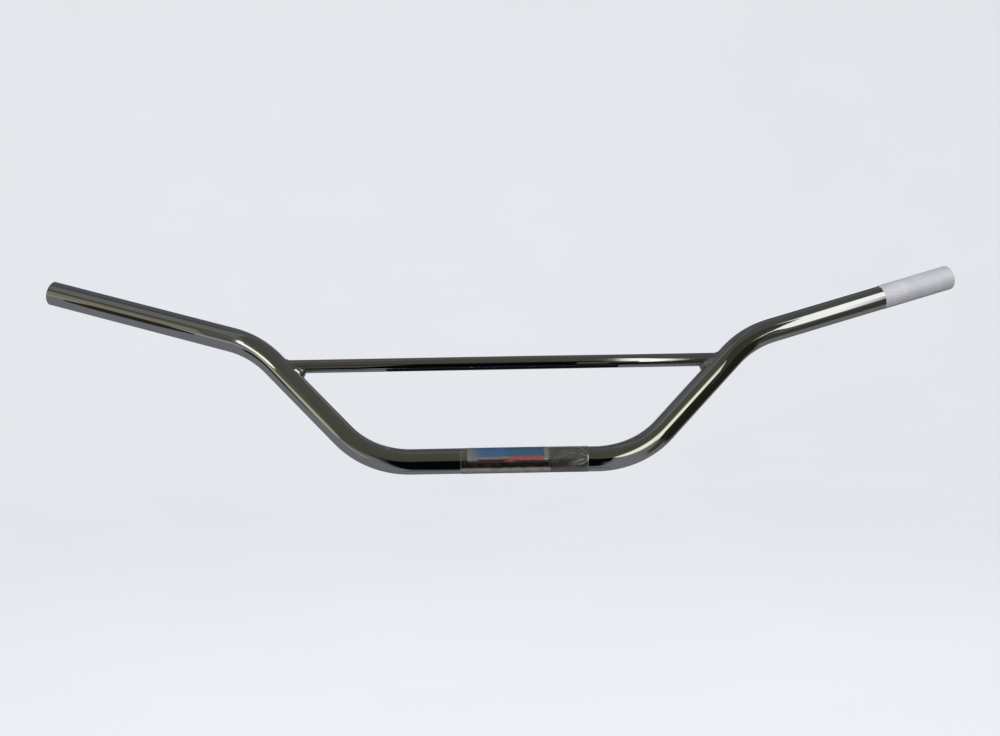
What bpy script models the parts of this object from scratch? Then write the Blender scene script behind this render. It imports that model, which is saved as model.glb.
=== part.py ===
"""Braced steel motorcycle handlebar of the trials and off-road kind: one bent 7/8 inch tube and a welded crossbar.

Metres, +Z up. +X runs across the bar towards the knurled left-hand grip end, and +Y runs back towards the rider.
The origin is the middle of the straight stretch that the fork yoke's clamps hold. The legs lean back from there,
as they do on the motorcycle, so everything is laid out in the plane of the legs and hung on one tilted empty.
"""

import math

import bmesh
import bpy
from mathutils import Vector

# Main tube: sizes, and the bends from the middle outwards, in the plane of the legs.
TUBE_OD = 0.0222
TUBE_WALL = 0.0020
CLAMP_HALF = 0.081
LOWER_BEND_RADIUS = 0.081
LEG_ANGLE = math.radians(46.9)
LEG_STRAIGHT = 0.0935
UPPER_BEND_RADIUS = 0.097
GRIP_RISE = math.radians(19.1)
GRIP_SWEEP = math.radians(8.0)
GRIP_STRAIGHT = 0.187
LEAN_BACK = math.radians(22.0)

# Knurled band, rolled into the left-hand grip end so that a plain grip can't turn.
KNURL_LENGTH = 0.074
KNURL_RAISE = 0.00018
KNURL_LEAD_IN = 0.0006

# Crossbar between the legs, coped to them.
CROSSBAR_OD = 0.0120
CROSSBAR_WALL = 0.0015
CROSSBAR_HEIGHT = 0.0913

# Fillet weld round each crossbar end: small over the top, larger and further out in the sharp corner underneath.
WELD_RADIUS_TOP = 0.0030
WELD_RADIUS_CORNER = 0.0041
WELD_OFFSET_TOP = 0.0002
WELD_OFFSET_CORNER = 0.0012

# Stickers on the clamp stretch, from left to right along X.
LABEL_X = (-0.032, 0.038)
LABEL_DEGREES = (-28.0, 104.0)
OVERLAY_X = (-0.038, 0.0395)
OVERLAY_DEGREES = (-168.0, 176.0)
TAPE_X = (0.0400, 0.0725)
TAPE_DEGREES = (-172.0, 172.0)
FILM_THICKNESS = 0.00015
FILM_GAP = 0.00010

CLEARANCE = 0.0003
BEND_STEP = math.radians(5.5)
TUBE_SIDES = 28
CROSSBAR_SIDES = 20
WELD_SIDES = 12
WELD_POINTS = 36
FILM_STEP_DEGREES = 6.0
MERGE_DISTANCE = 0.00001

ACROSS = Vector((1.0, 0.0, 0.0))
LEG_DIRECTION = Vector((math.cos(LEG_ANGLE), 0.0, math.sin(LEG_ANGLE)))
GRIP_DIRECTION = Vector(
    (
        math.cos(GRIP_RISE) * math.cos(GRIP_SWEEP),
        math.cos(GRIP_RISE) * math.sin(GRIP_SWEEP),
        math.sin(GRIP_RISE),
    )
)


def clear_scene():
    for obj in list(bpy.data.objects):
        bpy.data.objects.remove(obj)


def new_collection(name):
    collection = bpy.data.collections.new(name)
    bpy.context.scene.collection.children.link(collection)
    return collection


def make_material(name, colour, metallic, roughness):
    material = bpy.data.materials.new(name)
    material.use_nodes = True
    shader = material.node_tree.nodes["Principled BSDF"]
    shader.inputs["Base Color"].default_value = (*colour, 1.0)
    shader.inputs["Metallic"].default_value = metallic
    shader.inputs["Roughness"].default_value = roughness
    material.diffuse_color = (*colour, 1.0)
    return material


# The centre line.


def bend(start, before, after, radius):
    """Points of an arc that turns from one direction to the other, after its start."""
    turn = before.angle(after)
    inwards = (after - after.dot(before) * before).normalized()
    steps = math.ceil(turn / BEND_STEP)
    angles = [turn * i / steps for i in range(1, steps + 1)]
    return [start + radius * (math.sin(a) * before + (1 - math.cos(a)) * inwards) for a in angles]


def half_centre_line():
    """From the middle of the bar to the +X grip end."""
    points = [Vector((CLAMP_HALF, 0.0, 0.0))]
    points += bend(points[-1], ACROSS, LEG_DIRECTION, LOWER_BEND_RADIUS)
    points.append(points[-1] + LEG_STRAIGHT * LEG_DIRECTION)
    points += bend(points[-1], LEG_DIRECTION, GRIP_DIRECTION, UPPER_BEND_RADIUS)
    points.append(points[-1] + GRIP_STRAIGHT * GRIP_DIRECTION)
    return points


def mirrored(point):
    return Vector((-point.x, point.y, point.z))


def lengthened(points, extra):
    """The same line with both ends pulled out along their own directions."""
    first = points[0] + (points[0] - points[1]).normalized() * extra
    last = points[-1] + (points[-1] - points[-2]).normalized() * extra
    return [first, *points[1:-1], last]


def tube_points():
    half = half_centre_line()
    return [mirrored(point) for point in reversed(half)] + half


def outside_points_and_radii():
    """The outer skin's line, with the step up to the knurled band at the +X end."""
    points = tube_points()
    plain, raised = TUBE_OD / 2, TUBE_OD / 2 + KNURL_RAISE
    end = points.pop()
    knurl_start = end - KNURL_LENGTH * GRIP_DIRECTION
    radii = [plain] * len(points) + [plain, raised, raised]
    points += [knurl_start, knurl_start + KNURL_LEAD_IN * GRIP_DIRECTION, end]
    return points, radii


# Turning lines into solids.


def sweep(name, points, radii, sides, collection, parent, cyclic=False):
    """A closed round tube along the points, as a mesh with its caps welded on."""
    curve = bpy.data.curves.new(name, "CURVE")
    curve.dimensions = "3D"
    curve.twist_mode = "Z_UP"
    curve.bevel_depth = 1.0
    curve.bevel_resolution = (sides - 4) // 2
    curve.use_fill_caps = not cyclic
    spline = curve.splines.new("POLY")
    spline.points.add(len(points) - 1)
    for target, point, radius in zip(spline.points, points, radii):
        target.co = (*point, 1.0)
        target.radius = radius
    spline.use_cyclic_u = cyclic
    line = bpy.data.objects.new(name, curve)
    bpy.context.scene.collection.objects.link(line)
    bpy.context.view_layer.update()
    evaluated = line.evaluated_get(bpy.context.evaluated_depsgraph_get())
    mesh = bpy.data.meshes.new_from_object(evaluated)
    bpy.data.objects.remove(line)
    bpy.data.curves.remove(curve)
    weld_caps(mesh)
    solid = bpy.data.objects.new(name, mesh)
    collection.objects.link(solid)
    solid.parent = parent
    return solid


def weld_caps(mesh):
    work = bmesh.new()
    work.from_mesh(mesh)
    bmesh.ops.remove_doubles(work, verts=work.verts, dist=MERGE_DISTANCE)
    bmesh.ops.recalc_face_normals(work, faces=work.faces)
    work.to_mesh(mesh)
    work.free()


def make_cutter(obj):
    obj.hide_render = True
    obj.display_type = "WIRE"
    return obj


def cut(obj, cutter, solver="EXACT"):
    modifier = obj.modifiers.new("cut_" + cutter.name, "BOOLEAN")
    modifier.operation = "DIFFERENCE"
    modifier.solver = solver
    modifier.object = cutter


def finish_round(obj, material):
    obj.data.materials.clear()
    obj.data.materials.append(material)
    obj.data.shade_smooth()
    obj.data.set_sharp_from_angle(angle=math.radians(35.0))


# The pieces.


def make_main_tube(parts, cutters, parent, material):
    points, radii = outside_points_and_radii()
    tube = sweep("main_tube", points, radii, TUBE_SIDES, parts, parent)
    bore_points = lengthened(tube_points(), 0.01)
    bore_radii = [TUBE_OD / 2 - TUBE_WALL] * len(bore_points)
    bore = make_cutter(sweep("main_bore", bore_points, bore_radii, TUBE_SIDES, cutters, parent))
    cut(tube, bore)
    finish_round(tube, material)
    return tube


def crossbar_half_length():
    """Where the crossbar's axis meets a leg's axis."""
    bend_width = LOWER_BEND_RADIUS * math.sin(LEG_ANGLE)
    bend_height = LOWER_BEND_RADIUS * (1 - math.cos(LEG_ANGLE))
    return CLAMP_HALF + bend_width + (CROSSBAR_HEIGHT - bend_height) / math.tan(LEG_ANGLE)


def straight_across(half_length):
    return [Vector((side * half_length, 0.0, CROSSBAR_HEIGHT)) for side in (-1, 1)]


def make_crossbar(parts, cutters, parent, leg_space, material):
    ends = straight_across(crossbar_half_length())
    bar = sweep("crossbar", ends, [CROSSBAR_OD / 2] * 2, CROSSBAR_SIDES, parts, parent)
    bore_radius = CROSSBAR_OD / 2 - CROSSBAR_WALL
    bore_ends = lengthened(ends, 0.01)
    bore = sweep("crossbar_bore", bore_ends, [bore_radius] * 2, CROSSBAR_SIDES, cutters, parent)
    cut(bar, leg_space, solver="MANIFOLD")
    cut(bar, make_cutter(bore), solver="MANIFOLD")
    finish_round(bar, material)
    return bar


def weld_line(side):
    """The closed line of the bead's middle, a little way off both skins, and the bead's radius along it."""
    points, radii = [], []
    for i in range(WELD_POINTS):
        turn = 2 * math.pi * i / WELD_POINTS
        underneath = ((1 - math.sin(turn)) / 2) ** 2
        offset = WELD_OFFSET_TOP + (WELD_OFFSET_CORNER - WELD_OFFSET_TOP) * underneath
        depth = (CROSSBAR_OD / 2 + offset) * math.cos(turn)
        height = (CROSSBAR_OD / 2 + offset) * math.sin(turn)
        inward = math.sqrt((TUBE_OD / 2 + offset) ** 2 - depth**2)
        along = (height * math.cos(LEG_ANGLE) - inward) / math.sin(LEG_ANGLE)
        points.append(Vector((side * (crossbar_half_length() + along), depth, CROSSBAR_HEIGHT + height)))
        radii.append(WELD_RADIUS_TOP + (WELD_RADIUS_CORNER - WELD_RADIUS_TOP) * underneath)
    return points, radii


def make_weld(name, side, parts, parent, spaces, material):
    points, radii = weld_line(side)
    weld = sweep(name, points, radii, WELD_SIDES, parts, parent, cyclic=True)
    for space in spaces:
        cut(weld, space, solver="MANIFOLD")
    finish_round(weld, material)
    return weld


def film_outline(inner, outer, degrees):
    """Cross-section of a film wrapped on the tube: 0 degrees faces forwards, 90 is the top."""
    first, last = degrees
    steps = math.ceil((last - first) / FILM_STEP_DEGREES)
    turns = [math.radians(first + (last - first) * i / steps) for i in range(steps + 1)]
    skin = [(outer * math.sin(a), -outer * math.cos(a)) for a in turns]
    return skin + [(inner * math.sin(a), -inner * math.cos(a)) for a in reversed(turns)]


def make_film(name, inner, degrees, span, parts, parent, material):
    curve = bpy.data.curves.new(name, "CURVE")
    curve.dimensions = "2D"
    curve.fill_mode = "BOTH"
    curve.extrude = (span[1] - span[0]) / 2
    outline = film_outline(inner, inner + FILM_THICKNESS, degrees)
    spline = curve.splines.new("POLY")
    spline.points.add(len(outline) - 1)
    for target, (up, back) in zip(spline.points, outline):
        target.co = (-up, back, 0.0, 1.0)
    spline.use_cyclic_u = True
    curve.materials.append(material)
    film = bpy.data.objects.new(name, curve)
    parts.objects.link(film)
    film.parent = parent
    film.location = ((span[0] + span[1]) / 2, 0.0, 0.0)
    film.rotation_euler = (0.0, math.radians(90.0), 0.0)
    return film


def main():
    clear_scene()
    parts = new_collection("handlebar")
    cutters = new_collection("cutters")

    chrome = make_material("chrome", (0.62, 0.62, 0.60), 1.0, 0.06)
    weld_chrome = make_material("weld_chrome", (0.60, 0.60, 0.58), 1.0, 0.12)
    print_film = make_material("print_film", (0.10, 0.18, 0.34), 0.0, 0.30)
    clear_film = make_material("clear_film", (0.72, 0.73, 0.72), 0.0, 0.15)
    hazy_film = make_material("hazy_film", (0.45, 0.45, 0.43), 0.0, 0.45)

    legs_plane = bpy.data.objects.new("legs_plane", None)
    parts.objects.link(legs_plane)
    legs_plane.rotation_euler = (-LEAN_BACK, 0.0, 0.0)

    make_main_tube(parts, cutters, legs_plane, chrome)

    space_radius = TUBE_OD / 2 + CLEARANCE
    line = tube_points()
    leg_space = make_cutter(
        sweep("leg_space", line, [space_radius] * len(line), TUBE_SIDES, cutters, legs_plane)
    )
    make_crossbar(parts, cutters, legs_plane, leg_space, chrome)

    bar_ends = straight_across(crossbar_half_length())
    bar_radius = CROSSBAR_OD / 2 + CLEARANCE
    bar_space = make_cutter(
        sweep("bar_space", bar_ends, [bar_radius] * 2, CROSSBAR_SIDES, cutters, legs_plane)
    )
    spaces = (leg_space, bar_space)
    make_weld("weld_bead_left_hand", 1, parts, legs_plane, spaces, weld_chrome)
    make_weld("weld_bead_right_hand", -1, parts, legs_plane, spaces, weld_chrome)

    label_radius = TUBE_OD / 2 + FILM_GAP
    overlay_radius = label_radius + FILM_THICKNESS + FILM_GAP
    make_film("printed_label", label_radius, LABEL_DEGREES, LABEL_X, parts, legs_plane, print_film)
    make_film(
        "clear_overlay_film", overlay_radius, OVERLAY_DEGREES, OVERLAY_X, parts, legs_plane, clear_film
    )
    make_film("hazy_tape_band", label_radius, TAPE_DEGREES, TAPE_X, parts, legs_plane, hazy_film)


main()
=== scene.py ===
"""The looks of a braced, chromed motorcycle handlebar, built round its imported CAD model.

Metres, in the frame of the CAD model: +X to the rider's left hand (the knurled end), +Y back to the
rider, +Z up. The bar is laid out in the plane of its legs, starting from its middle, and then leant back.
"""

import math

import bmesh
import bpy
from mathutils import Euler, Matrix, Vector, noise


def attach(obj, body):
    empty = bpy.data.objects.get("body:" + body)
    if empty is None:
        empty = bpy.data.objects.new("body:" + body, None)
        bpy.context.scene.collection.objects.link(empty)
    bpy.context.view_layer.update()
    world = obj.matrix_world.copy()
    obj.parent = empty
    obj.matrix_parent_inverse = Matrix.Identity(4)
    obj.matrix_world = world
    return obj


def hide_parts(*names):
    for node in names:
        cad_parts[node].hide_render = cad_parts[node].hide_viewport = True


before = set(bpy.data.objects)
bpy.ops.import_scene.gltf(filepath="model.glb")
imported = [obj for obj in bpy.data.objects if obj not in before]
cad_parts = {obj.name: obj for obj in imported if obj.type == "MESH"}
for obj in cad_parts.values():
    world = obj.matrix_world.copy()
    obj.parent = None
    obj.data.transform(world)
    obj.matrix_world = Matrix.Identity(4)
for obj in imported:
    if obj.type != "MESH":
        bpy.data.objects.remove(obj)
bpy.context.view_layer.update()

MM = 0.001

# The bar, as the CAD model has it.
TUBE_RADIUS = 11.1 * MM
BORE_RADIUS = 9.1 * MM
CLAMP_HALF = 81 * MM
LOWER_BEND_RADIUS = 81 * MM
LEG_ANGLE = math.radians(46.9)
LEG_STRAIGHT = 93.5 * MM
UPPER_BEND_RADIUS = 97 * MM
GRIP_RISE = math.radians(19.1)
GRIP_SWEEP = math.radians(8.0)
GRIP_STRAIGHT = 187 * MM
LEAN_BACK = math.radians(22.0)
CROSSBAR_RADIUS = 6 * MM
CROSSBAR_BORE_RADIUS = 4.5 * MM
CROSSBAR_HEIGHT = 91.3 * MM

# Fineness of the tube, and the chamfers of its two ends.
TUBE_SIDES = 224  # eight for each row of the knurl
BEND_STEP = math.radians(1.5)
STRAIGHT_STEP = 6 * MM
OUTER_CHAMFER = 0.6 * MM
INNER_CHAMFER = 0.4 * MM

# Knurl rolled into the last stretch of the +X grip.
KNURL_LENGTH = 74 * MM
KNURL_GUARD = 0.1 * MM  # the last step of plain tube, short so that the knurl stays out of its shading
KNURL_ROWS = 28
KNURL_DIAMOND_LENGTH = 6.8 * MM
KNURL_HEIGHT = 0.30 * MM
KNURL_BASE = -0.12 * MM
KNURL_RUN_OUT = 0.7 * MM
KNURL_STEP = 0.42 * MM
KNURL_CREST_SLOPE = 1.25  # over 1, so that the crests are a little flat

# Crossbar.
CROSSBAR_SIDES = 96
CROSSBAR_STATIONS = 24
CROSSBAR_EMBED = 0.05 * MM

# Weld beads.
WELD_STATIONS = 168
WELD_RIPPLES = 17
WELD_PROFILE_POINTS = 11
WELD_EMBED = 0.2 * MM
WELD_WIDTH = 2.1 * MM
WELD_WIDTH_BELOW = 3.6 * MM  # what is added underneath, where the crossbar and the leg meet at a sharp angle
WELD_WIDTH_WOBBLE = 0.35 * MM
WELD_FULLNESS = 0.42  # 0.5 is a flat face between the toes, and less is hollow
WELD_CROWN = 0.08 * MM
WELD_CROWN_AHEAD = 0.60 * MM
WELD_CROWN_TURN = 0.5
WELD_RIPPLE = 0.03 * MM
WELD_RIPPLE_BELOW = 0.34 * MM
WELD_RIPPLE_ARCH = 1.6
WELD_RIPPLE_WOBBLE = 0.9
WELD_ROOT_DEPTH = 0.4 * MM
WELD_WOBBLE_FINENESS = 3.0
WELD_WOBBLE_APART = 7.0  # keeps the two beads from being alike

# Films on the clamp stretch: X from and to, the angles round the tube (0 faces forwards, 90 is the top) and
# the mesh's steps along X and round the tube.
LABEL_X = (-32 * MM, 38 * MM)
LABEL_DEGREES = (-28.0, 104.0)
LABEL_RADIUS = 11.19 * MM
LABEL_STEPS = (40, 48)
OVERLAY_X = (-38 * MM, 39.5 * MM)
OVERLAY_DEGREES = (-168.0, 176.0)
OVERLAY_RADIUS = 11.28 * MM
OVERLAY_STEPS = (60, 110)
TAPE_X = (40 * MM, 72.5 * MM)
TAPE_DEGREES = (-172.0, 172.0)
TAPE_RADIUS = 11.24 * MM
TAPE_STEPS = (130, 330)
TAPE_ROUND = TAPE_RADIUS * math.radians(TAPE_DEGREES[1] - TAPE_DEGREES[0])
PINCH_V = 0.46  # where the tape is pinched, as a share of the way round it
FAN_OFFSET = 1.5 * MM  # how far beyond the tape's edge its creases would meet
FILM_THICKNESS = 0.05 * MM
BUBBLE_HEIGHT = 0.05 * MM
CRINKLE_HEIGHT = 0.06 * MM
CREASE_HEIGHT = 0.26 * MM
CREASE_REACH = 9 * MM
CREASE_RAYS = 5.0
CREASE_WANDER = 1.5
FLAP_HEIGHT = 0.8 * MM
FLAP_LENGTH = 2.5 * MM
FLAP_WIDTH = 5 * MM

# Camera.
CAMERA_PLACE = (-5.7 * MM, -1216.6 * MM, 80.2 * MM)
CAMERA_ROLL = math.radians(1.03)
CAMERA_YAW = math.radians(-0.16)
CAMERA_LENS = 50.4
CAMERA_SENSOR = 36.0
CAMERA_REACH = 100.0

# Backdrop: a floor, a cove and a wall, all round.
FLOOR_HEIGHT = -330 * MM
FLOOR_RADIUS = 2.4
COVE_RADIUS = 2.2
WALL_TOP = 5.5
BACKDROP_SIDES = 72
FLOOR_RINGS = 8
COVE_RINGS = 16
FLOOR_GLOW = 0.95

# Soft lights: name, place, size and power in watts.
SOFT_LIGHTS = (
    ("top_light", (0.3, -0.4, 2.6), 2.6, 12.0),
    ("front_light", (0.3, -3.2, 0.75), 1.6, 23.0),
)
LIGHT_SPREAD = math.radians(70)

# What the chrome mirrors. Tones are as they look in the chrome, from 0 for black to 1 for white.
CHROME = 0.62
WALL_LOW = (0.25, 0.25, 0.215)
WALL_HIGH = (0.27, 0.27, 0.255)
WALL_LEFT = (0.37, 0.37, 0.35)
WALL_BEHIND = (0.29, 0.30, 0.33)
GROUND = (0.40, 0.40, 0.42)
GROUND_BELOW = (0.25, 0.25, 0.25)
GROUND_BEHIND = (0.38, 0.39, 0.43)
GROUND_RIGHT = (0.37, 0.37, 0.35)

# Each panel has a tone, the softness of its edges in degrees and its corners (azimuth, elevation): azimuth 0
# is the camera's side and + is +X. A later panel covers an earlier one. The outlines are convex.
MAIN_LIGHT = (
    (11, 3),
    (13, 9),
    (17, 19),
    (21, 28),
    (27, 29),
    (38, 16),
    (40, 11),
    (37, 4),
    (32, -2),
    (25, -7),
    (18, -7.5),
    (13, -4),
)
PANELS = (
    # The dark things: what stands round the camera, low things to the right and small gaps on the left.
    (
        (0.02, 0.02, 0.03),
        6.0,
        ((-17, 5), (9, 7), (11, -12), (15, -60), (8, -80), (-12, -80), (-22, -55), (-22, -20)),
    ),
    (
        (0.11, 0.11, 0.09),
        3.0,
        ((48, 4), (95, -7), (130, -22), (112, -36), (80, -33), (58, -22), (47, -12)),
    ),
    ((0.20, 0.20, 0.19), 3.0, ((50, -18), (62, -20), (90, -40), (88, -50), (70, -44), (56, -36))),
    ((0.23, 0.23, 0.22), 3.0, ((-35, 38), (-45, 38), (-45, 27), (-35, 27))),
    ((0.23, 0.23, 0.25), 5.0, ((-60, 80), (-120, 84), (-120, 70), (-66, 70))),
    # Pale patches on the left.
    ((0.31, 0.31, 0.34), 6.0, ((-60, 72), (-100, 72), (-165, 46), (-160, 42), (-110, 50), (-60, 70))),
    ((0.40, 0.40, 0.39), 3.0, ((-60, -4), (-95, -18), (-92, -30), (-64, -17))),
    ((0.55, 0.55, 0.52), 2.5, ((-50, -5), (-54, -8), (-45, -30), (-38, -28), (-43, -14))),
    ((0.62, 0.61, 0.57), 2.5, ((-47, 4), (-51, 4), (-64, -7), (-66, -13), (-56, -9), (-47, -1))),
    # The glow of the main light, the tall panel to its right in two parts and the main light itself.
    (
        (0.44, 0.44, 0.40),
        5.0,
        ((17, 34), (24, 32), (37, 16), (40, 0), (38, -8), (20, -14), (17, -10), (15, 10)),
    ),
    (
        (0.93, 0.94, 0.94),
        2.2,
        ((34, 14), (34, 30), (35, 41), (41, 49), (50, 55), (62, 58), (62, 25), (48, 14)),
    ),
    ((0.93, 0.94, 0.94), 2.0, ((35, 22), (40, 22), (47.5, -9), (45.5, -12), (39, -4))),
    ((0.89, 0.88, 0.81), 1.8, MAIN_LIGHT),
    # The slim light beside the camera, which the crossbar mirrors.
    ((0.98, 0.98, 0.94), 0.4, ((5.0, 9), (6.2, 40), (7.4, 40), (7.6, 9), (6.9, -22), (5.7, -22))),
    # Panels behind the bar, for the views from there.
    ((0.93, 0.94, 0.96), 3.0, ((161, 24), (176, 28), (177, -6), (163, -10))),
    ((0.75, 0.76, 0.78), 5.0, ((-160, 20), (-175, 18), (-174, -2), (-162, -6))),
)

# Small upright cards near the bar, seen only in its reflections: name, tone, depth and corners (X, Z).
CARD_DEPTH = -155 * MM
CLOSE_DEPTH = -60 * MM
CARDS = (
    # It lights the -X upper bend.
    (
        "bend_card",
        (0.98, 0.98, 0.94),
        CARD_DEPTH,
        (
            (-0.365, 0.225), (-0.385, 0.165), (-0.400, 0.130), (-0.405, 0.115), (-0.360, 0.130),
            (-0.325, 0.160), (-0.360, 0.170), (-0.365, 0.190), (-0.355, 0.225),
        ),
    ),
    # These two give the -X grip its pale and dark stripes.
    (
        "grip_card",
        (0.44, 0.43, 0.39),
        CARD_DEPTH,
        ((-0.655, 0.285), (-0.700, 0.130), (-0.452, 0.083), (-0.430, 0.195)),
    ),
    (
        "grip_dark_card",
        (0.14, 0.14, 0.10),
        CARD_DEPTH,
        (
            (-0.715, 0.055), (-0.630, 0.105), (-0.560, 0.100), (-0.520, 0.085), (-0.505, 0.020),
            (-0.555, -0.050), (-0.695, -0.150), (-0.765, -0.175), (-0.845, -0.160),
            (-0.800, -0.060),
        ),
    ),
    # It hides the panels from the +X upper bend.
    (
        "bend_flag",
        (0.20, 0.20, 0.17),
        CARD_DEPTH,
        (
            (0.250, 0.240), (0.285, 0.195), (0.330, 0.130), (0.375, 0.080), (0.415, 0.040),
            (0.485, 0.035), (0.445, 0.070), (0.410, 0.115), (0.400, 0.150), (0.400, 0.200),
            (0.420, 0.305), (0.380, 0.330), (0.230, 0.300),
        ),
    ),
    # It narrows the streak down the +X leg.
    (
        "leg_flag",
        (0.13, 0.13, 0.10),
        CARD_DEPTH,
        ((0.342, 0.137), (0.250, 0.054), (0.270, -0.035), (0.345, -0.050), (0.430, 0.062)),
    ),
    # The two close flags hide the slim light from the +X lower bend.
    (
        "low_close_flag",
        (0.02, 0.02, 0.03),
        CLOSE_DEPTH,
        ((0.072, 0.002), (0.1035, 0.002), (0.1035, -0.030), (0.072, -0.030)),
    ),
    # It shortens the black line along the crossbar at its -X end.
    (
        "crossbar_flag",
        (0.26, 0.26, 0.23),
        CLOSE_DEPTH,
        ((-0.200, 0.020), (-0.200, 0.082), (-0.085, 0.082), (-0.142, 0.020)),
    ),
    (
        "high_close_flag",
        (0.25, 0.25, 0.215),
        CLOSE_DEPTH,
        (
            (0.072, 0.002), (0.1035, 0.002), (0.1035, 0.036), (0.131, 0.036), (0.131, 0.072),
            (0.072, 0.072),
        ),
    ),
)

# A level card that darkens the underside of the crossbar, with its corners (X, Y).
UNDER_CARD_TONE = (0.05, 0.05, 0.06)
UNDER_CARD_HEIGHT = 50 * MM
UNDER_CARD = ((-0.106, 0.018), (0.106, 0.018), (0.106, 0.070), (-0.106, 0.070))

ACROSS = Vector((1, 0, 0))
LEG = Vector((math.cos(LEG_ANGLE), 0, math.sin(LEG_ANGLE)))
GRIP = Vector(
    (
        math.cos(GRIP_RISE) * math.cos(GRIP_SWEEP),
        math.cos(GRIP_RISE) * math.sin(GRIP_SWEEP),
        math.sin(GRIP_RISE),
    )
)
LEAN = Matrix.Rotation(-LEAN_BACK, 3, "X")


# ---- The tube's centre line ----------------------------------------------------------------------


def straight(start, direction, length, step):
    """(point, direction) along a straight, without its start."""
    count = max(1, math.ceil(length / step))
    return [(start + direction * (length * i / count), direction) for i in range(1, count + 1)]


def bend(start, before, after, radius):
    """(point, direction) round an arc, without its start."""
    turn = before.angle(after)
    inwards = (after - after.dot(before) * before).normalized()
    count = math.ceil(turn / BEND_STEP)
    line = []
    for i in range(1, count + 1):
        angle = turn * i / count
        point = start + radius * (math.sin(angle) * before + (1 - math.cos(angle)) * inwards)
        line.append((point, math.cos(angle) * before + math.sin(angle) * inwards))
    return line


def half_line():
    """(point, direction) from the middle of the bar to the start of the grip's straight."""
    line = straight(Vector((0, 0, 0)), ACROSS, CLAMP_HALF, STRAIGHT_STEP)
    line += bend(line[-1][0], ACROSS, LEG, LOWER_BEND_RADIUS)
    line += straight(line[-1][0], LEG, LEG_STRAIGHT, STRAIGHT_STEP)
    line += bend(line[-1][0], LEG, GRIP, UPPER_BEND_RADIUS)
    return line


def mirrored(point, direction):
    """The same place on the other half, with the direction still running towards +X."""
    return Vector((-point.x, point.y, point.z)), Vector((direction.x, -direction.y, -direction.z))


def whole_line(grip_steps_left, grip_steps_right):
    """(point, direction) from the -X end to the +X end. The steps are lengths along each grip."""
    half = half_line()
    grip_start = half[-1][0]
    left = [mirrored(grip_start + GRIP * length, GRIP) for length in reversed(grip_steps_left)]
    left += [mirrored(*item) for item in reversed(half)]
    middle = [(Vector((0, 0, 0)), ACROSS)]
    return left + middle + half + [(grip_start + GRIP * length, GRIP) for length in grip_steps_right]


def steps_to(last, step):
    """Even steps no longer than step, from the first to last itself."""
    count = math.ceil(last / step)
    return [last * i / count for i in range(1, count + 1)]


# ---- Meshes --------------------------------------------------------------------------------------


def make_object(name, mesh, material, slot_name, *nodes):
    """The finished piece, leant back, riding on the one body and standing for its CAD nodes."""
    mesh.transform(LEAN.to_4x4())
    mesh.materials.append(material)
    mesh.update()
    piece = bpy.data.objects.new(name, mesh)
    bpy.context.scene.collection.objects.link(piece)
    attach(piece, "root")
    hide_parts(*nodes)


def mesh_from_rings(name, rings, closed=True, smooth_angle=40.0):
    """A skin over rings of points. closed joins the last ring to the first."""
    work = bmesh.new()
    made = [[work.verts.new(point) for point in ring] for ring in rings]
    pairs = list(zip(made, made[1:] + made[:1])) if closed else list(zip(made, made[1:]))
    sides = len(rings[0])
    for first, second in pairs:
        for i in range(sides):
            j = (i + 1) % sides
            work.faces.new((first[i], first[j], second[j], second[i]))
    bmesh.ops.recalc_face_normals(work, faces=work.faces)
    mesh = bpy.data.meshes.new(name)
    work.to_mesh(mesh)
    work.free()
    mesh.shade_smooth()
    mesh.set_sharp_from_angle(angle=math.radians(smooth_angle))
    return mesh


def ring(point, direction, radii, sides):
    """Points round a tube's section. radii is one number, or a function of the angle."""
    side = direction.cross(Vector((0, 1, 0))).normalized()
    up = side.cross(direction).normalized()
    points = []
    for i in range(sides):
        angle = 2 * math.pi * i / sides
        radius = radii(angle) if callable(radii) else radii
        points.append(point + radius * (math.cos(angle) * side + math.sin(angle) * up))
    return points


# ---- Main tube with its knurl --------------------------------------------------------------------


def groove(turns):
    """0 in a groove and 1 on the crest between two grooves, with the crest flattened a little."""
    height = 1 - abs(2 * (turns % 1.0) - 1)
    return min(1.0, height * KNURL_CREST_SLOPE)


def knurl_radius(along):
    """The skin's radius as a function of the angle, at a distance from the knurl's start."""
    from_edge = min(along, KNURL_LENGTH - OUTER_CHAMFER - along)
    fade = max(0.0, min(1.0, from_edge / KNURL_RUN_OUT))

    def radius(angle):
        rows = KNURL_ROWS * angle / (2 * math.pi)
        lead = along / KNURL_DIAMOND_LENGTH
        crest = min(groove(rows + lead), groove(rows - lead))
        return TUBE_RADIUS + fade * (KNURL_BASE + KNURL_HEIGHT * crest)

    return radius


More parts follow.
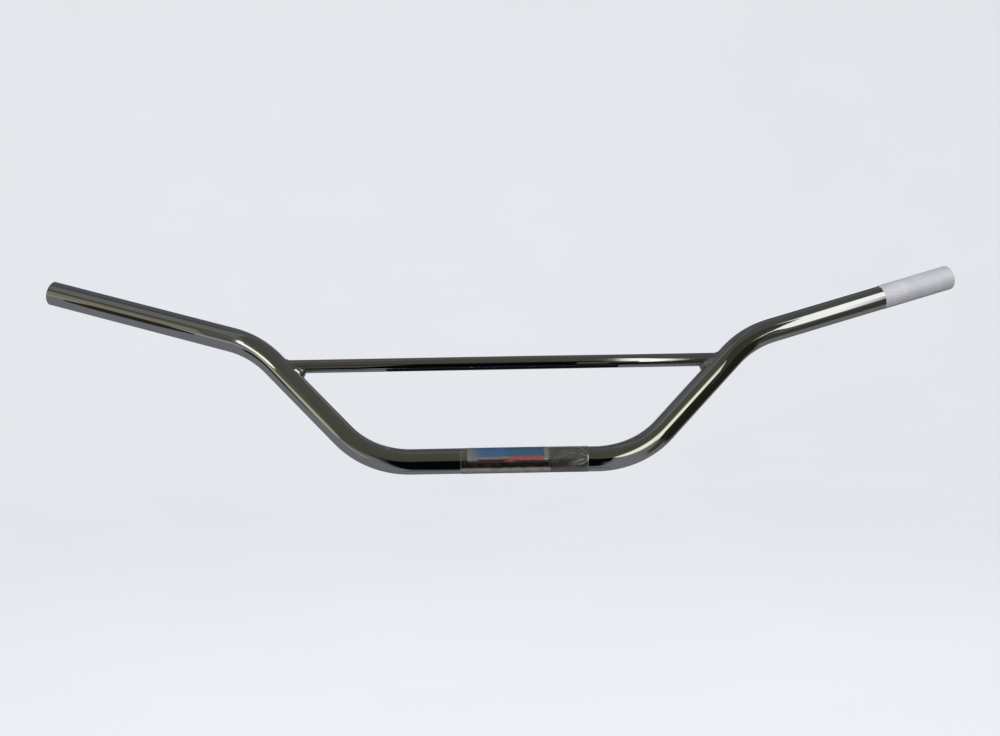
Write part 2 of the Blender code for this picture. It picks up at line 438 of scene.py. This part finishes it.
def make_bar_tube(material, knurl_plating):
    """The whole tube with its bore, as one skin of rings. The end of the +X grip is knurled."""
    plain_steps = steps_to(GRIP_STRAIGHT - OUTER_CHAMFER, STRAIGHT_STEP)
    knurl_start = GRIP_STRAIGHT - KNURL_LENGTH
    smooth_steps = steps_to(knurl_start - KNURL_GUARD, STRAIGHT_STEP) + [knurl_start]
    knurl_steps = [knurl_start + step for step in steps_to(KNURL_LENGTH - OUTER_CHAMFER, KNURL_STEP)]
    rings = []
    for point, direction in whole_line(plain_steps, smooth_steps):
        rings.append(ring(point, direction, TUBE_RADIUS, TUBE_SIDES))
    first_knurl_ring = len(rings) - 1
    grip_start = half_line()[-1][0]
    for step in knurl_steps:
        rings.append(ring(grip_start + GRIP * step, GRIP, knurl_radius(step - knurl_start), TUBE_SIDES))
    last_knurl_ring = len(rings) - 1

    bore_steps = steps_to(GRIP_STRAIGHT - INNER_CHAMFER, 4 * STRAIGHT_STEP)
    end_radii = (TUBE_RADIUS - OUTER_CHAMFER, BORE_RADIUS + INNER_CHAMFER)
    right_end = (grip_start + GRIP * GRIP_STRAIGHT, GRIP)
    left_end = mirrored(*right_end)
    for radius in end_radii:
        rings.append(ring(*right_end, radius, TUBE_SIDES))
    for point, direction in reversed(whole_line(bore_steps, bore_steps)):
        rings.append(ring(point, direction, BORE_RADIUS, TUBE_SIDES))
    for radius in reversed(end_radii):
        rings.append(ring(*left_end, radius, TUBE_SIDES))

    mesh = mesh_from_rings("bar_tube", rings)
    make_object("bar_tube", mesh, material, "chrome", "main_tube")
    mesh.materials.append(knurl_plating)
    for polygon in mesh.polygons:
        ring_number = polygon.index // TUBE_SIDES
        polygon.material_index = int(first_knurl_ring <= ring_number <= last_knurl_ring)


# ---- Crossbar ------------------------------------------------------------------------------------


def crossbar_half_length():
    """Where the crossbar's axis meets a leg's axis."""
    bend_width = LOWER_BEND_RADIUS * math.sin(LEG_ANGLE)
    bend_height = LOWER_BEND_RADIUS * (1 - math.cos(LEG_ANGLE))
    return CLAMP_HALF + bend_width + (CROSSBAR_HEIGHT - bend_height) / math.tan(LEG_ANGLE)


def cope(turn, bar_radius, leg_radius):
    """Where a line along the crossbar's skin meets a leg's skin: its X on the +X side, depth and height."""
    depth = bar_radius * math.cos(turn)
    height = bar_radius * math.sin(turn)
    inward = math.sqrt(leg_radius**2 - depth**2)
    along = (height * math.cos(LEG_ANGLE) - inward) / math.sin(LEG_ANGLE)
    return Vector((crossbar_half_length() + along, depth, CROSSBAR_HEIGHT + height))


def make_crossbar(material):
    """The hollow crossbar, with its ends shaped to the legs."""
    turns = [2 * math.pi * i / CROSSBAR_SIDES for i in range(CROSSBAR_SIDES)]
    leg_skin = TUBE_RADIUS - CROSSBAR_EMBED
    outer = [cope(turn, CROSSBAR_RADIUS, leg_skin) for turn in turns]
    inner = [cope(turn, CROSSBAR_BORE_RADIUS, leg_skin) for turn in turns]
    rings = []
    for points, direction in ((outer, 1), (inner, -1)):
        for i in range(CROSSBAR_STATIONS + 1):
            share = direction * (2 * i / CROSSBAR_STATIONS - 1)
            rings.append([Vector((point.x * share, point.y, point.z)) for point in points])
    mesh = mesh_from_rings("crossbar_tube", rings)
    make_object("crossbar_tube", mesh, material, "chrome", "crossbar")


# ---- Weld beads ----------------------------------------------------------------------------------


def weld_station(turn, wobble):
    """One section of the bead on the +X side, from its toe on the crossbar to its toe on the leg."""
    before, root, after = (cope(turn + nudge, CROSSBAR_RADIUS, TUBE_RADIUS) for nudge in (-0.01, 0, 0.01))
    ahead = (after - before).normalized()
    axis_point = Vector((crossbar_half_length(), 0, CROSSBAR_HEIGHT))
    from_axis = root - axis_point
    leg_normal = (from_axis - from_axis.dot(LEG) * LEG).normalized()
    on_leg = leg_normal.cross(ahead)
    bar_normal = Vector((0, math.cos(turn), math.sin(turn)))
    if on_leg.dot(bar_normal) < 0:
        on_leg = -on_leg
    underneath = ((1 - math.sin(turn)) / 2) ** 2
    width = WELD_WIDTH + WELD_WIDTH_BELOW * underneath + WELD_WIDTH_WOBBLE * wobble
    bar_toe = root - ACROSS * width - bar_normal * WELD_EMBED
    leg_toe = root + on_leg * width
    from_axis = leg_toe - axis_point
    off_leg = from_axis - from_axis.dot(LEG) * LEG
    leg_toe += off_leg.normalized() * (TUBE_RADIUS - WELD_EMBED) - off_leg
    belly = root + WELD_FULLNESS * ((bar_toe - root) + (leg_toe - root))
    outward = (belly - root).normalized()
    in_front = max(0.0, -math.cos(turn - WELD_CROWN_TURN)) ** 2
    crown = WELD_CROWN + WELD_CROWN_AHEAD * in_front
    ripple_height = WELD_RIPPLE + WELD_RIPPLE_BELOW * underneath
    points = []
    for i in range(WELD_PROFILE_POINTS):
        share = i / (WELD_PROFILE_POINTS - 1)
        point = (1 - share) ** 2 * bar_toe + 2 * share * (1 - share) * belly + share**2 * leg_toe
        lap = math.sin(math.pi * share)
        phase = WELD_RIPPLE_ARCH * lap + WELD_RIPPLE_WOBBLE * wobble
        crescent = 0.5 + 0.5 * math.sin(WELD_RIPPLES * turn + phase)
        points.append(point + outward * lap * (crown + ripple_height * crescent))
    points.append(root - outward * WELD_ROOT_DEPTH)
    return points


def make_weld(name, node, side, material):
    """A closed bead round one end of the crossbar. side is 1 for +X and -1 for -X."""
    rings = []
    for i in range(WELD_STATIONS):
        turn = 2 * math.pi * i / WELD_STATIONS
        place = Vector((math.cos(turn), math.sin(turn), 0)) * WELD_WOBBLE_FINENESS
        place.z = WELD_WOBBLE_APART * side
        points = weld_station(turn, noise.noise(place))
        rings.append([Vector((side * point.x, point.y, point.z)) for point in points])
    mesh = mesh_from_rings(name, rings, smooth_angle=60.0)
    make_object(name, mesh, material, "weld_chrome", node)


# ---- Films on the clamp stretch ------------------------------------------------------------------


def film_mesh(name, span, degrees, radius, steps, lift=None):
    """A wrapped film with UVs: u runs along X and v round the tube. lift(u, v) stands it off the tube."""
    rows, columns = steps
    rings = []
    for i in range(rows + 1):
        u = i / rows
        x = span[0] + (span[1] - span[0]) * u
        outer, inner = [], []
        for j in range(columns + 1):
            v = j / columns
            angle = math.radians(degrees[0] + (degrees[1] - degrees[0]) * v)
            height = radius + (lift(u, v) if lift else 0.0)
            for points, distance in ((outer, height + FILM_THICKNESS), (inner, height)):
                points.append(Vector((x, -distance * math.cos(angle), distance * math.sin(angle))))
        rings.append(outer + inner[::-1])
    mesh = mesh_from_rings(name, rings, closed=False, smooth_angle=50.0)
    work = bmesh.new()
    work.from_mesh(mesh)
    work.verts.ensure_lookup_table()
    sides = len(rings[0])
    for row in (0, rows):
        for j in range(columns):
            first = row * sides + j
            last = (row + 1) * sides - 1 - j
            work.faces.new([work.verts[k] for k in (first, first + 1, last - 1, last)])
    bmesh.ops.recalc_face_normals(work, faces=work.faces)
    layer = work.loops.layers.uv.new("UVMap")
    for face in work.faces:
        for loop in face.loops:
            row, place = divmod(loop.vert.index, sides)
            column = place if place <= columns else sides - 1 - place
            loop[layer].uv = (row / rows, column / columns)
    work.to_mesh(mesh)
    work.free()
    return mesh


def make_label(material):
    mesh = film_mesh("label_print", LABEL_X, LABEL_DEGREES, LABEL_RADIUS, LABEL_STEPS)
    make_object("label_print", mesh, material, "print_film", "printed_label")


def make_overlay(material):
    def lift(u, v):
        return BUBBLE_HEIGHT * noise.noise(Vector((9 * u, 14 * v, 3.1)))

    mesh = film_mesh("label_overlay", OVERLAY_X, OVERLAY_DEGREES, OVERLAY_RADIUS, OVERLAY_STEPS, lift)
    make_object("label_overlay", mesh, material, "clear_film", "clear_overlay_film")


def make_tape(material):
    """Creases fan out from a pinched spot at the front of the tape's +X edge, which has come unstuck."""

    def lift(u, v):
        around = (v - PINCH_V) * TAPE_ROUND
        along = (1 - u) * (TAPE_X[1] - TAPE_X[0])
        reach = math.hypot(around, along)
        fan = math.atan2(around, along + FAN_OFFSET)
        wander = CREASE_WANDER * noise.noise(Vector((3 * u, 9 * v, 1.7)))
        wave = abs(math.sin(CREASE_RAYS * fan + wander))
        crease = math.exp(-reach / CREASE_REACH) * wave
        crinkle = 0.5 + 0.5 * noise.noise(Vector((12 * u, 26 * v, 5.3)))
        flap = max(0.0, 1 - along / FLAP_LENGTH) ** 2 * math.exp(-((around / FLAP_WIDTH) ** 2))
        return CRINKLE_HEIGHT * crinkle + CREASE_HEIGHT * crease + FLAP_HEIGHT * flap

    mesh = film_mesh("tape_band", TAPE_X, TAPE_DEGREES, TAPE_RADIUS, TAPE_STEPS, lift)
    make_object("tape_band", mesh, material, "hazy_film", "hazy_tape_band")


# ---- Materials -----------------------------------------------------------------------------------


class Nodes:
    """Short ways to add shader nodes."""

    def __init__(self, tree):
        self.tree = tree

    def add(self, kind, **settings):
        node = self.tree.nodes.new(kind)
        for name, value in settings.items():
            setattr(node, name, value)
        return node

    def link(self, source, target):
        self.tree.links.new(source, target)

    def put(self, socket, value):
        if isinstance(value, bpy.types.NodeSocket):
            self.link(value, socket)
        else:
            socket.default_value = value

    def maths(self, operation, *values):
        node = self.add("ShaderNodeMath", operation=operation)
        for socket, value in zip(node.inputs, values):
            self.put(socket, value)
        return node.outputs[0]

    def product(self, *values):
        result = values[0]
        for value in values[1:]:
            result = self.maths("MULTIPLY", result, value)
        return result

    def ramp(self, value, low, high, to_low=0.0, to_high=1.0):
        """A smooth step from to_low, at or below low, to to_high, at or above high."""
        node = self.add("ShaderNodeMapRange", interpolation_type="SMOOTHSTEP")
        for socket, number in zip(node.inputs, (value, low, high, to_low, to_high)):
            self.put(socket, number)
        return node.outputs[0]

    def fall(self, value, low, high, to_low=1.0, to_high=0.0):
        """The same the other way: 1 below low and 0 above high."""
        return self.ramp(value, low, high, to_low, to_high)

    def mix(self, factor, first, second):
        node = self.add("ShaderNodeMix", data_type="RGBA")
        self.put(node.inputs[0], factor)
        self.put(node.inputs[6], first if isinstance(first, bpy.types.NodeSocket) else (*first, 1.0))
        self.put(node.inputs[7], second if isinstance(second, bpy.types.NodeSocket) else (*second, 1.0))
        return node.outputs[2]

    def noise(self, vector, scale, detail=3.0, roughness=0.5, stretch=None):
        if stretch:
            mapping = self.add("ShaderNodeMapping")
            self.link(vector, mapping.inputs[0])
            mapping.inputs["Scale"].default_value = stretch
            vector = mapping.outputs[0]
        node = self.add("ShaderNodeTexNoise")
        self.link(vector, node.inputs["Vector"])
        node.inputs["Scale"].default_value = scale
        node.inputs["Detail"].default_value = detail
        node.inputs["Roughness"].default_value = roughness
        return node.outputs[0]

    def bump(self, height, distance):
        node = self.add("ShaderNodeBump")
        node.inputs["Strength"].default_value = 1.0
        node.inputs["Distance"].default_value = distance
        self.link(height, node.inputs["Height"])
        return node.outputs[0]

    def place(self):
        """The place on the piece, in metres."""
        return self.add("ShaderNodeTexCoord").outputs["Object"]

    def uv(self):
        """The place on a film's UV map."""
        return self.add("ShaderNodeTexCoord").outputs["UV"]

    def split(self, vector):
        """The three parts of a vector."""
        node = self.add("ShaderNodeSeparateXYZ")
        self.link(vector, node.inputs[0])
        return list(node.outputs)

    def join(self, x, y, z=0.0):
        """A vector from its three parts."""
        node = self.add("ShaderNodeCombineXYZ")
        for socket, value in zip(node.inputs, (x, y, z)):
            self.put(socket, value)
        return node.outputs[0]


def new_material(name, **settings):
    """A material, its node helper and its Principled shader. Constants go on the shader's own sockets."""
    material = bpy.data.materials.new(name)
    material.use_nodes = True
    shader = material.node_tree.nodes["Principled BSDF"]
    for key, value in settings.items():
        shader.inputs[key.replace("_", " ")].default_value = value
    return material, Nodes(material.node_tree), shader


def chrome_material():
    """Decorative chrome: a mirror with faint haze, handling scratches along the tube and tiny pits."""
    material, nodes, shader = new_material("bright_chrome", Metallic=1.0)
    place = nodes.place()
    haze = nodes.noise(place, 55.0, 4.0, 0.6)
    smudge = nodes.noise(place, 14.0, 2.0, 0.5)
    scratches = nodes.noise(place, 260.0, 2.0, 0.7, stretch=(0.12, 1.0, 1.0))
    tone = nodes.mix(nodes.ramp(smudge, 0.35, 0.7), (0.60, 0.60, 0.58), (0.64, 0.64, 0.62))
    nodes.link(tone, shader.inputs["Base Color"])
    rough = nodes.ramp(haze, 0.35, 0.75, 0.03, 0.06)
    fine = nodes.ramp(scratches, 0.62, 0.78, 0.0, 0.05)
    nodes.link(nodes.maths("ADD", rough, fine), shader.inputs["Roughness"])
    pits = nodes.noise(place, 900.0, 2.0, 0.5)
    scratch_relief = nodes.ramp(scratches, 0.6, 0.8, 0.0, 0.5)
    relief = nodes.maths("ADD", scratch_relief, nodes.ramp(pits, 0.72, 0.8, 0.0, 0.6))
    nodes.link(nodes.bump(relief, 0.004 * MM), shader.inputs["Normal"])
    return material


def knurl_material():
    """Satin plating over the rolled knurl, a little duller in patches."""
    material, nodes, shader = new_material("satin_knurl", Metallic=0.5, Specular_IOR_Level=0.4)
    place = nodes.place()
    grain = nodes.noise(place, 1400.0, 3.0, 0.6)
    patches = nodes.noise(place, 60.0, 3.0, 0.55)
    tone = nodes.mix(nodes.ramp(patches, 0.3, 0.75), (0.56, 0.57, 0.63), (0.64, 0.64, 0.69))
    nodes.link(tone, shader.inputs["Base Color"])
    nodes.link(nodes.ramp(grain, 0.3, 0.7, 0.42, 0.58), shader.inputs["Roughness"])
    nodes.link(nodes.bump(grain, 0.02 * MM), shader.inputs["Normal"])
    return material


def weld_material():
    """Chrome over weld metal: a little duller than the tube, with a faint grain and brown stains."""
    material, nodes, shader = new_material("chromed_weld", Metallic=1.0)
    place = nodes.place()
    grain = nodes.noise(place, 700.0, 4.0, 0.6)
    stain = nodes.noise(place, 160.0, 3.0, 0.5)
    tone = nodes.mix(nodes.ramp(stain, 0.4, 0.7), (0.61, 0.61, 0.59), (0.50, 0.48, 0.43))
    nodes.link(tone, shader.inputs["Base Color"])
    nodes.link(nodes.ramp(grain, 0.3, 0.7, 0.05, 0.13), shader.inputs["Roughness"])
    nodes.link(nodes.bump(grain, 0.015 * MM), shader.inputs["Normal"])
    return material


def label_material():
    """Printed film: a blue field over a red stripe, pale ends and a lower edge that is partly clear."""
    material, nodes, shader = new_material("printed_film", Specular_IOR_Level=0.25)
    place = nodes.uv()
    u, v = nodes.split(place)[:2]
    print_grain = nodes.noise(place, 60.0, 4.0, 0.7, stretch=(2.0, 1.0, 1.0))
    wander = nodes.noise(place, 5.0, 2.0, 0.5)
    uneven = nodes.maths("ADD", u, nodes.maths("MULTIPLY", wander, 0.06))
    blue = nodes.mix(nodes.ramp(uneven, 0.48, 0.56), (0.018, 0.047, 0.112), (0.012, 0.036, 0.078))
    blue = nodes.mix(nodes.ramp(print_grain, 0.3, 0.7, 0.0, 0.4), blue, (0.034, 0.072, 0.135))
    pale = nodes.mix(nodes.ramp(print_grain, 0.3, 0.7), (0.052, 0.072, 0.084), (0.080, 0.095, 0.100))
    field = nodes.mix(nodes.ramp(uneven, 0.06, 0.22), pale, blue)
    hairline = nodes.product(nodes.fall(v, 0.18, 0.21), nodes.ramp(u, 0.04, 0.10))
    colour = nodes.mix(hairline, field, (0.070, 0.078, 0.074))
    stripe_end = nodes.fall(u, 0.84, 0.98, 1.0, 0.85)
    stripe_top = nodes.product(nodes.ramp(u, 0.40, 0.64, 0.110, 0.205), stripe_end)
    in_stripe = nodes.fall(nodes.maths("SUBTRACT", v, stripe_top), -0.014, 0.014)
    red = nodes.mix(nodes.ramp(print_grain, 0.35, 0.65), (0.105, 0.018, 0.018), (0.160, 0.042, 0.040))
    red = nodes.mix(nodes.ramp(uneven, 0.44, 0.60), (0.018, 0.005, 0.004), red)
    colour = nodes.mix(nodes.product(in_stripe, nodes.ramp(u, 0.08, 0.16)), colour, red)
    beige = nodes.mix(nodes.ramp(print_grain, 0.3, 0.7), (0.070, 0.069, 0.060), (0.100, 0.096, 0.083))
    at_end = nodes.maths("MAXIMUM", nodes.fall(u, 0.03, 0.06), nodes.ramp(u, 0.945, 0.955))
    nodes.link(nodes.mix(at_end, colour, beige), shader.inputs["Base Color"])
    nodes.link(nodes.ramp(print_grain, 0.3, 0.7, 0.30, 0.42), shader.inputs["Roughness"])
    printed = nodes.product(nodes.ramp(u, 0.10, 0.15), nodes.fall(u, 0.50, 0.62))
    clear_edge = nodes.product(nodes.fall(v, 0.055, 0.080), nodes.maths("SUBTRACT", 1.0, printed))
    nodes.link(nodes.maths("SUBTRACT", 1.0, nodes.product(clear_edge, 0.88)), shader.inputs["Alpha"])
    nodes.link(nodes.bump(print_grain, 0.004 * MM), shader.inputs["Normal"])
    return material


def clear_film_material():
    """Clear film: nearly all see-through, with a warm veil of adhesive, made thicker underneath as painted
    light: there it stands in for light thrown up from below.
    """
    material, nodes, shader = new_material("clear_film", Specular_IOR_Level=0.12)
    u, v = nodes.split(nodes.uv())[:2]
    bubbles = nodes.noise(nodes.place(), 180.0, 3.0, 0.6)
    veil = nodes.mix(nodes.ramp(bubbles, 0.3, 0.7), (0.30, 0.28, 0.25), (0.42, 0.40, 0.37))
    nodes.link(veil, shader.inputs["Base Color"])
    nodes.link(nodes.ramp(bubbles, 0.3, 0.7, 0.16, 0.28), shader.inputs["Roughness"])
    # Painted light: the thick veil along the underside makes the film look lit from below; the thin veil
    # elsewhere is the adhesive.
    underneath = nodes.fall(v, 0.31, 0.345)
    thin = nodes.ramp(bubbles, 0.3, 0.75, 0.004, 0.018)
    painted_lit_underside = nodes.product(underneath, nodes.ramp(bubbles, 0.3, 0.75, 0.27, 0.36))
    at_end = nodes.maths("MAXIMUM", nodes.fall(u, 0.005, 0.02), nodes.ramp(u, 0.98, 0.995))
    alpha = nodes.maths("ADD", nodes.maths("ADD", thin, painted_lit_underside), nodes.product(at_end, 0.04))
    nodes.link(alpha, shader.inputs["Alpha"])
    nodes.link(nodes.bump(bubbles, 0.008 * MM), shader.inputs["Normal"])
    return material


def tape_material():
    """Crinkled packing tape: hazy, with painted highlights on the creases that fan out from a pinched spot
    at its +X edge, on that edge below the spot and on the spot itself.
    """
    material, nodes, shader = new_material("hazy_tape", Specular_IOR_Level=0.4)
    u, v = nodes.split(nodes.uv())[:2]
    place = nodes.place()
    wrinkles = nodes.noise(place, 240.0, 5.0, 0.7, stretch=(0.5, 1.0, 1.0))
    cloud = nodes.noise(place, 70.0, 3.0, 0.6)
    along = nodes.product(nodes.maths("SUBTRACT", 1.0, u), TAPE_X[1] - TAPE_X[0])
    around = nodes.product(nodes.maths("SUBTRACT", v, PINCH_V), TAPE_ROUND)
    reach_squared = nodes.maths("ADD", nodes.product(along, along), nodes.product(around, around))
    reach = nodes.maths("SQRT", reach_squared)
    fan = nodes.maths("ARCTAN2", around, nodes.maths("ADD", along, FAN_OFFSET))
    rays = nodes.noise(nodes.join(fan, nodes.product(reach, 14.0)), 3.6, 1.0, 0.5)
    # Painted highlight: pale lines along the creases near the pinch. The same mask also raises the creases'
    # relief.
    near = nodes.fall(reach, 5 * MM, 24 * MM)
    crease = nodes.product(nodes.ramp(rays, 0.50, 0.62), near)
    # Painted glint on the pinched spot.
    at_pinch = nodes.fall(reach, 1.5 * MM, 4.5 * MM)
    pinched = nodes.product(nodes.fall(along, 0.5 * MM, 1.6 * MM), at_pinch)
    # Painted highlight along the +X edge, below the pinch, where the edge has lifted.
    below_pinch = nodes.fall(around, 1 * MM, 6 * MM)
    painted_edge_highlight = nodes.product(nodes.fall(along, 0.2 * MM, 0.8 * MM), below_pinch, 0.5)
    # The three painted highlights together: they make the tape's colour paler and the tape less clear.
    pale = nodes.maths("MAXIMUM", nodes.product(crease, 0.45), painted_edge_highlight)
    pale = nodes.maths("MAXIMUM", pale, pinched)
    haze = nodes.mix(nodes.ramp(wrinkles, 0.4, 0.7), (0.070, 0.066, 0.058), (0.110, 0.106, 0.095))
    nodes.link(nodes.mix(pale, haze, (0.30, 0.30, 0.285)), shader.inputs["Base Color"])
    nodes.link(nodes.ramp(cloud, 0.3, 0.7, 0.28, 0.42), shader.inputs["Roughness"])
    thin = nodes.ramp(wrinkles, 0.35, 0.75, 0.14, 0.30)
    nodes.link(nodes.maths("MAXIMUM", thin, pale), shader.inputs["Alpha"])
    relief = nodes.maths("ADD", wrinkles, nodes.product(crease, 2.0))
    nodes.link(nodes.bump(relief, 0.05 * MM), shader.inputs["Normal"])
    return material


def floor_material():
    """Pale paper that mostly glows by itself, so that it is even from every side."""
    material, nodes, shader = new_material("pale_floor", Roughness=0.9, Specular_IOR_Level=0.1)
    mottle = nodes.noise(nodes.place(), 3.0, 2.0, 0.5)
    nodes.link(nodes.mix(mottle, (0.15, 0.15, 0.16), (0.17, 0.17, 0.18)), shader.inputs["Base Color"])
    nodes.link(nodes.mix(mottle, (0.74, 0.76, 0.80), (0.76, 0.78, 0.82)), shader.inputs["Emission Color"])
    shader.inputs["Emission Strength"].default_value = FLOOR_GLOW
    return material


# ---- Studio --------------------------------------------------------------------------------------


def linear(part):
    """The linear light of one part of an sRGB colour."""
    return part / 12.92 if part <= 0.04045 else ((part + 0.055) / 1.055) ** 2.4


def light_for(tone):
    """The light that chrome has to mirror to look this tone."""
    return tuple(linear(part) / CHROME for part in tone)


def panel_mask(nodes, direction, corners, soft):
    """1 inside a convex outline of (azimuth, elevation) corners. soft is half the width of its edge."""
    middle = sum((Vector(corner) for corner in corners), Vector((0, 0))) / len(corners)
    nearest = None
    for start, end in zip(corners, corners[1:] + corners[:1]):
        inwards = Vector((start[1] - end[1], end[0] - start[0])).normalized()
        if inwards.dot(middle - Vector(start)) < 0:
            inwards = -inwards
        dot = nodes.add("ShaderNodeVectorMath", operation="DOT_PRODUCT")
        nodes.link(direction, dot.inputs[0])
        dot.inputs[1].default_value = (*inwards, -inwards.dot(Vector(start)))
        inside = dot.outputs["Value"]
        nearest = inside if nearest is None else nodes.maths("MINIMUM", nearest, inside)
    return nodes.ramp(nearest, -soft, soft)


def room_light(nodes, azimuth, elevation):
    """The unlit room: olive walls, paler left of the camera and bluish behind, and a grey ground."""
    away = nodes.maths("ABSOLUTE", azimuth)
    wall = nodes.mix(nodes.ramp(elevation, 5.0, 75.0), light_for(WALL_LOW), light_for(WALL_HIGH))
    left = nodes.product(nodes.fall(azimuth, -34.0, -26.0), nodes.fall(away, 90.0, 120.0))
    left = nodes.product(left, nodes.ramp(elevation, 14.0, 34.0, 0.25, 1.0))
    wall = nodes.mix(left, wall, light_for(WALL_LEFT))
    wall = nodes.mix(nodes.ramp(away, 95.0, 150.0), wall, light_for(WALL_BEHIND))
    low = nodes.mix(nodes.fall(elevation, -88.0, -74.0), light_for(GROUND), light_for(GROUND_BELOW))
    low = nodes.mix(nodes.ramp(away, 95.0, 140.0), low, light_for(GROUND_BEHIND))
    right = nodes.product(nodes.ramp(azimuth, 20.0, 50.0), nodes.ramp(elevation, -60.0, -30.0))
    low = nodes.mix(right, low, light_for(GROUND_RIGHT))
    return nodes.mix(nodes.ramp(elevation, -14.0, 2.0), low, wall)


def make_world():
    """A dim room with soft light panels, for the chrome to mirror."""
    world = bpy.data.worlds.new("studio")
    world.use_nodes = True
    bpy.context.scene.world = world
    nodes = Nodes(world.node_tree)
    x, y, z = nodes.split(nodes.add("ShaderNodeTexCoord").outputs["Generated"])
    degrees = 180 / math.pi
    azimuth = nodes.product(nodes.maths("ARCTAN2", x, nodes.product(y, -1.0)), degrees)
    elevation = nodes.product(nodes.maths("ARCSINE", z), degrees)
    direction = nodes.join(azimuth, elevation, 1.0)
    colour = room_light(nodes, azimuth, elevation)
    for tone, soft, corners in PANELS:
        colour = nodes.mix(panel_mask(nodes, direction, corners, soft), colour, light_for(tone))
    nodes.link(colour, world.node_tree.nodes["Background"].inputs["Color"])


def make_card(name, corners, tone):
    """A small flat card near the bar, seen only in reflections and only from its side towards the bar."""
    work = bmesh.new()
    face = work.faces.new([work.verts.new(corner) for corner in corners])
    work.normal_update()
    if face.normal.y + face.normal.z < 0:
        bmesh.ops.reverse_faces(work, faces=[face])
    bmesh.ops.triangulate(work, faces=[face])
    mesh = bpy.data.meshes.new(name)
    work.to_mesh(mesh)
    work.free()
    material, nodes, shader = new_material(name, Specular_IOR_Level=0.0)
    shader.inputs["Base Color"].default_value = (0.0, 0.0, 0.0, 1.0)
    shader.inputs["Emission Color"].default_value = (*light_for(tone), 1.0)
    shader.inputs["Emission Strength"].default_value = 1.0
    behind = nodes.add("ShaderNodeNewGeometry").outputs["Backfacing"]
    nodes.link(nodes.maths("SUBTRACT", 1.0, behind), shader.inputs["Alpha"])
    mesh.materials.append(material)
    card = bpy.data.objects.new(name, mesh)
    bpy.context.scene.collection.objects.link(card)
    card.visible_camera = False
    card.visible_diffuse = False
    card.visible_transmission = False
    card.visible_shadow = False


def make_backdrop():
    """A pale floor that curves up into a wall all round, so that no horizon shows."""
    profile = [(FLOOR_RADIUS * i / FLOOR_RINGS, FLOOR_HEIGHT) for i in range(1, FLOOR_RINGS + 1)]
    for i in range(1, COVE_RINGS + 1):
        angle = math.radians(90 * i / COVE_RINGS)
        across = FLOOR_RADIUS + COVE_RADIUS * math.sin(angle)
        profile.append((across, FLOOR_HEIGHT + COVE_RADIUS * (1 - math.cos(angle))))
    profile.append((FLOOR_RADIUS + COVE_RADIUS, WALL_TOP))
    turns = [2 * math.pi * i / BACKDROP_SIDES for i in range(BACKDROP_SIDES)]
    work = bmesh.new()
    rings = []
    for across, height in profile:
        points = [(across * math.cos(turn), across * math.sin(turn), height) for turn in turns]
        rings.append([work.verts.new(point) for point in points])
    for first, second in zip(rings, rings[1:]):
        for i in range(BACKDROP_SIDES):
            j = (i + 1) % BACKDROP_SIDES
            work.faces.new((first[i], first[j], second[j], second[i]))
    work.faces.new(rings[0])
    bmesh.ops.recalc_face_normals(work, faces=work.faces)
    bmesh.ops.reverse_faces(work, faces=work.faces)
    mesh = bpy.data.meshes.new("backdrop")
    work.to_mesh(mesh)
    work.free()
    mesh.shade_smooth()
    mesh.materials.append(floor_material())
    backdrop = bpy.data.objects.new("backdrop", mesh)
    bpy.context.scene.collection.objects.link(backdrop)
    backdrop.visible_glossy = False
    backdrop.visible_diffuse = False
    backdrop.visible_shadow = False


def make_soft_light(name, place, size, power):
    """A large soft light for the backdrop, the films and the knurl. The chrome doesn't mirror it."""
    light = bpy.data.lights.new(name, "AREA")
    light.shape = "SQUARE"
    light.size = size
    light.energy = power
    light.spread = LIGHT_SPREAD
    lamp = bpy.data.objects.new(name, light)
    lamp.location = place
    lamp.rotation_euler = (-Vector(place)).to_track_quat("-Z", "Y").to_euler()
    lamp.visible_glossy = False
    lamp.visible_camera = False
    bpy.context.scene.collection.objects.link(lamp)


def make_camera():
    data = bpy.data.cameras.new("camera")
    data.lens = CAMERA_LENS
    data.sensor_width = CAMERA_SENSOR
    data.clip_end = CAMERA_REACH
    camera = bpy.data.objects.new("camera", data)
    camera.location = CAMERA_PLACE
    camera.rotation_euler = Euler((math.radians(90), CAMERA_ROLL, CAMERA_YAW), "XYZ")
    bpy.context.scene.collection.objects.link(camera)
    bpy.context.scene.camera = camera


# ---- Everything ----------------------------------------------------------------------------------


def main():
    bpy.context.scene.view_settings.view_transform = "Standard"
    chrome = chrome_material()
    make_bar_tube(chrome, knurl_material())
    make_crossbar(chrome)
    weld = weld_material()
    make_weld("weld_left_hand", "weld_bead_left_hand", 1, weld)
    make_weld("weld_right_hand", "weld_bead_right_hand", -1, weld)
    make_label(label_material())
    make_overlay(clear_film_material())
    make_tape(tape_material())
    make_world()
    for name, tone, depth, corners in CARDS:
        make_card(name, [(x, depth, z) for x, z in corners], tone)
    make_card("under_card", [(x, y, UNDER_CARD_HEIGHT) for x, y in UNDER_CARD], UNDER_CARD_TONE)
    make_backdrop()
    for soft_light in SOFT_LIGHTS:
        make_soft_light(*soft_light)
    make_camera()


main()
